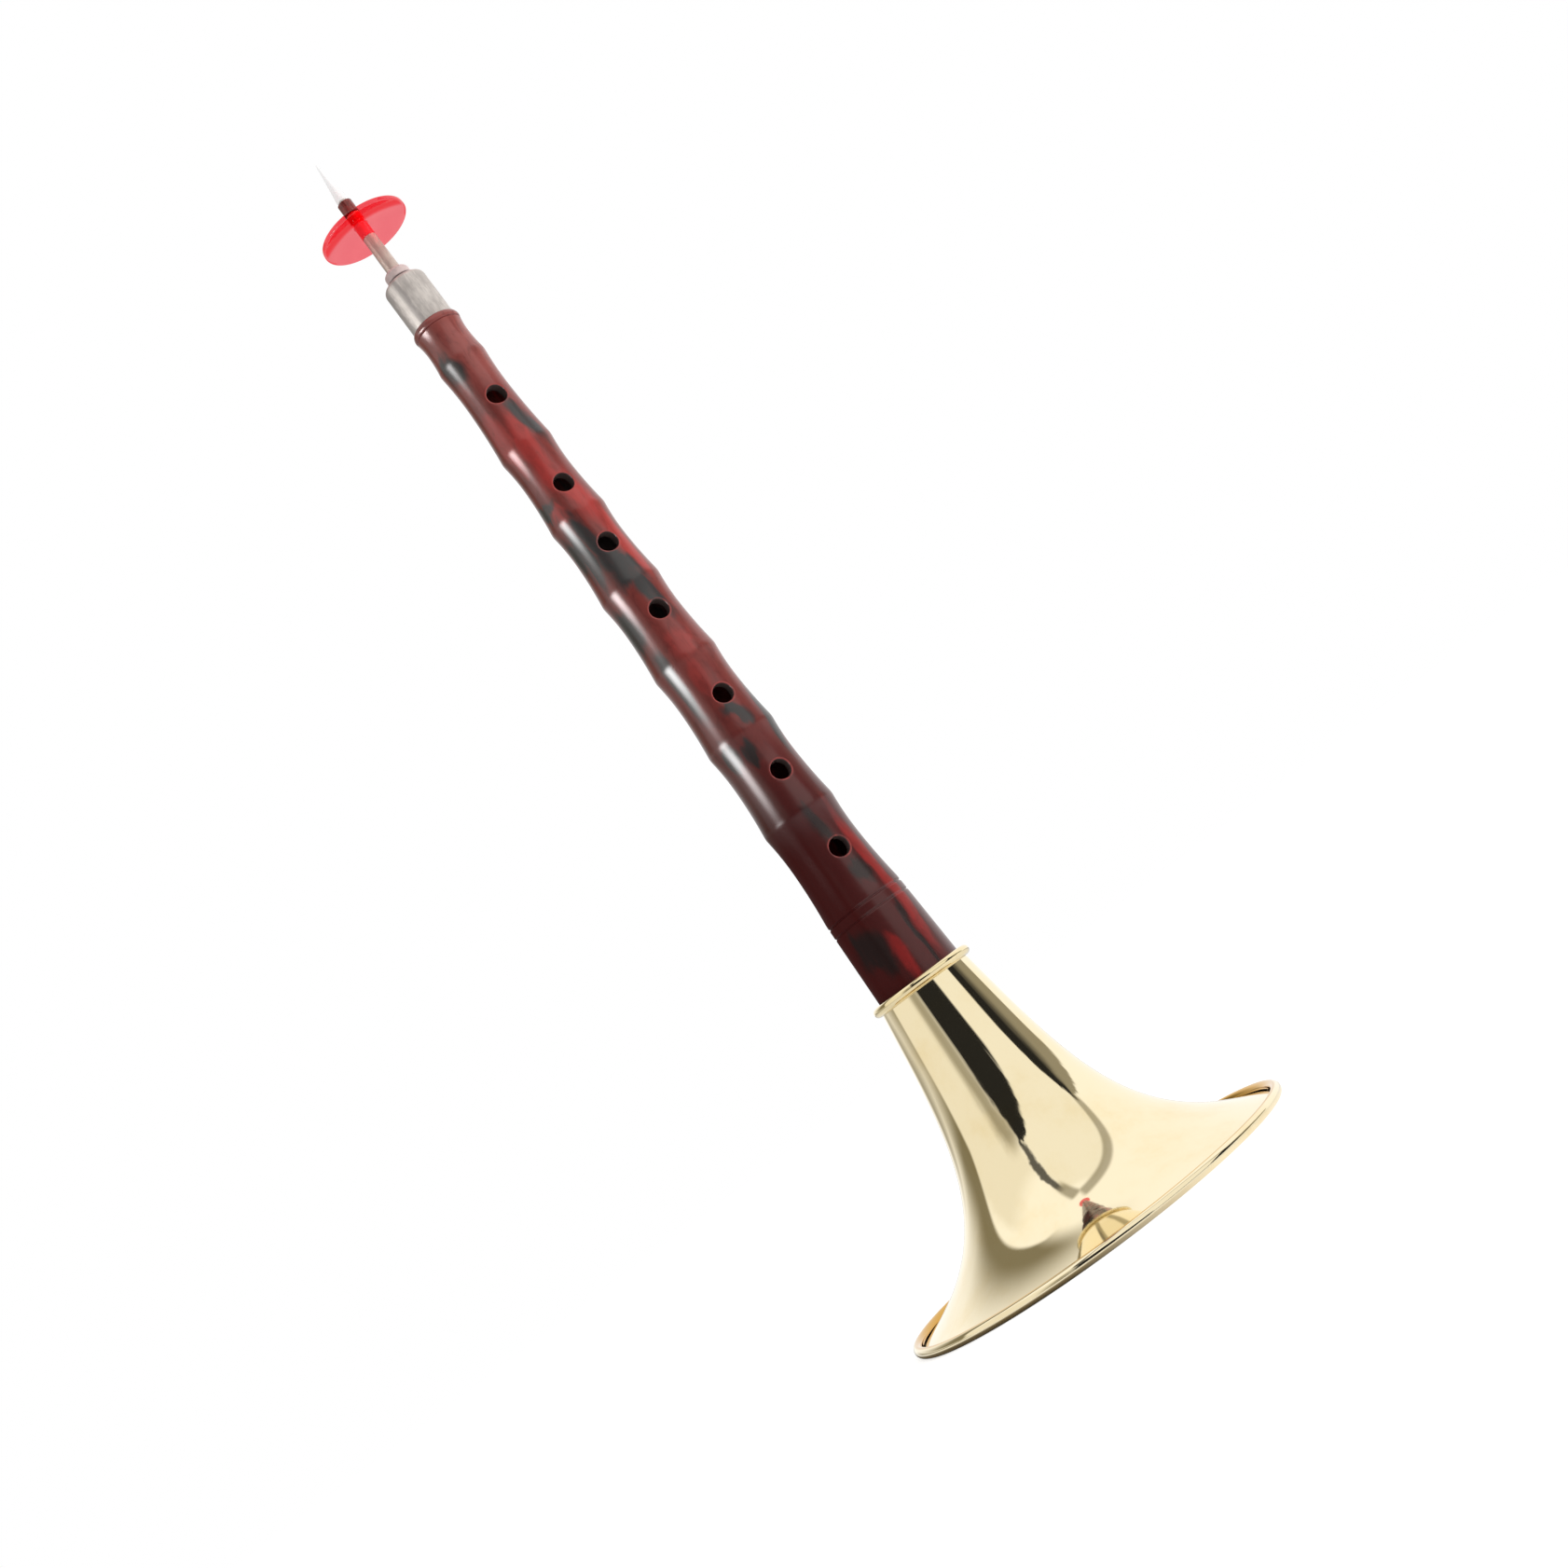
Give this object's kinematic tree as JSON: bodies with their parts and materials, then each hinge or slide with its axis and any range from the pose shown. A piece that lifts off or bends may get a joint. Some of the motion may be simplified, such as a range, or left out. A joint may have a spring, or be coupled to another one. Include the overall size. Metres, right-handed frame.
{
  "type": "suona",
  "caption": "Double-reed wind instrument with a conical ringed pipe, finger holes, a wide spun brass bell with a rolled rim, a thin staple, a dished lip disc and a flat reed.",
  "frame": {"origin": "centre of the bell's mouth, in the plane that the rolled rim stands on", "axes": "+Z along the pipe from the bell's mouth to the reed's tip; the front finger holes face -Y and the thumb hole faces +Y"},
  "size_m": [0.12, 0.12, 0.3692],
  "materials": {
    "bell_brass": "polished spun sheet",
    "ring_brass": "polished, turned",
    "rim_wire": "drawn wire",
    "marbled_resin": "polished marbled red and grey resin",
    "lapping_thread": "waxed thread",
    "ferrule_metal": "satin, drawn",
    "staple_metal": "polished tube",
    "bush_plastic": "matt white",
    "disc_red": "clear red, polished",
    "sleeve_dark": "dark red brown, glossy",
    "reed_white": "thin, milky white"
  },
  "bodies": {
    "pipe": {"body_pipe": "marbled_resin", "tenon_lapping": "lapping_thread", "ferrule": "ferrule_metal"},
    "bell": {"bell_flare": "bell_brass", "rim_wire": "rim_wire", "throat_ring": "ring_brass"},
    "staple": {"staple": "staple_metal", "staple_bush": "bush_plastic"},
    "lip_disc": {"lip_disc": "disc_red"},
    "reed": {"reed_sleeve": "sleeve_dark", "reed": "reed_white"}
  },
  "joints": [
    {"name": "bell_slide", "type": "slide", "parent": "pipe", "child": "bell", "axis": [0, 0, -1], "range_m": [0, 0.015]},
    {"name": "staple_slide", "type": "slide", "parent": "pipe", "child": "staple", "axis": [0, 0, 1], "range_m": [0, 0.012]},
    {"name": "disc_spin", "type": "hinge", "parent": "staple", "child": "lip_disc", "pos_m": [0, 0, 0.346], "axis": [0, 0, 1], "continuous": true},
    {"name": "reed_slide", "type": "slide", "parent": "staple", "child": "reed", "axis": [0, 0, 1], "range_m": [0, 0.0055]}
  ]
}
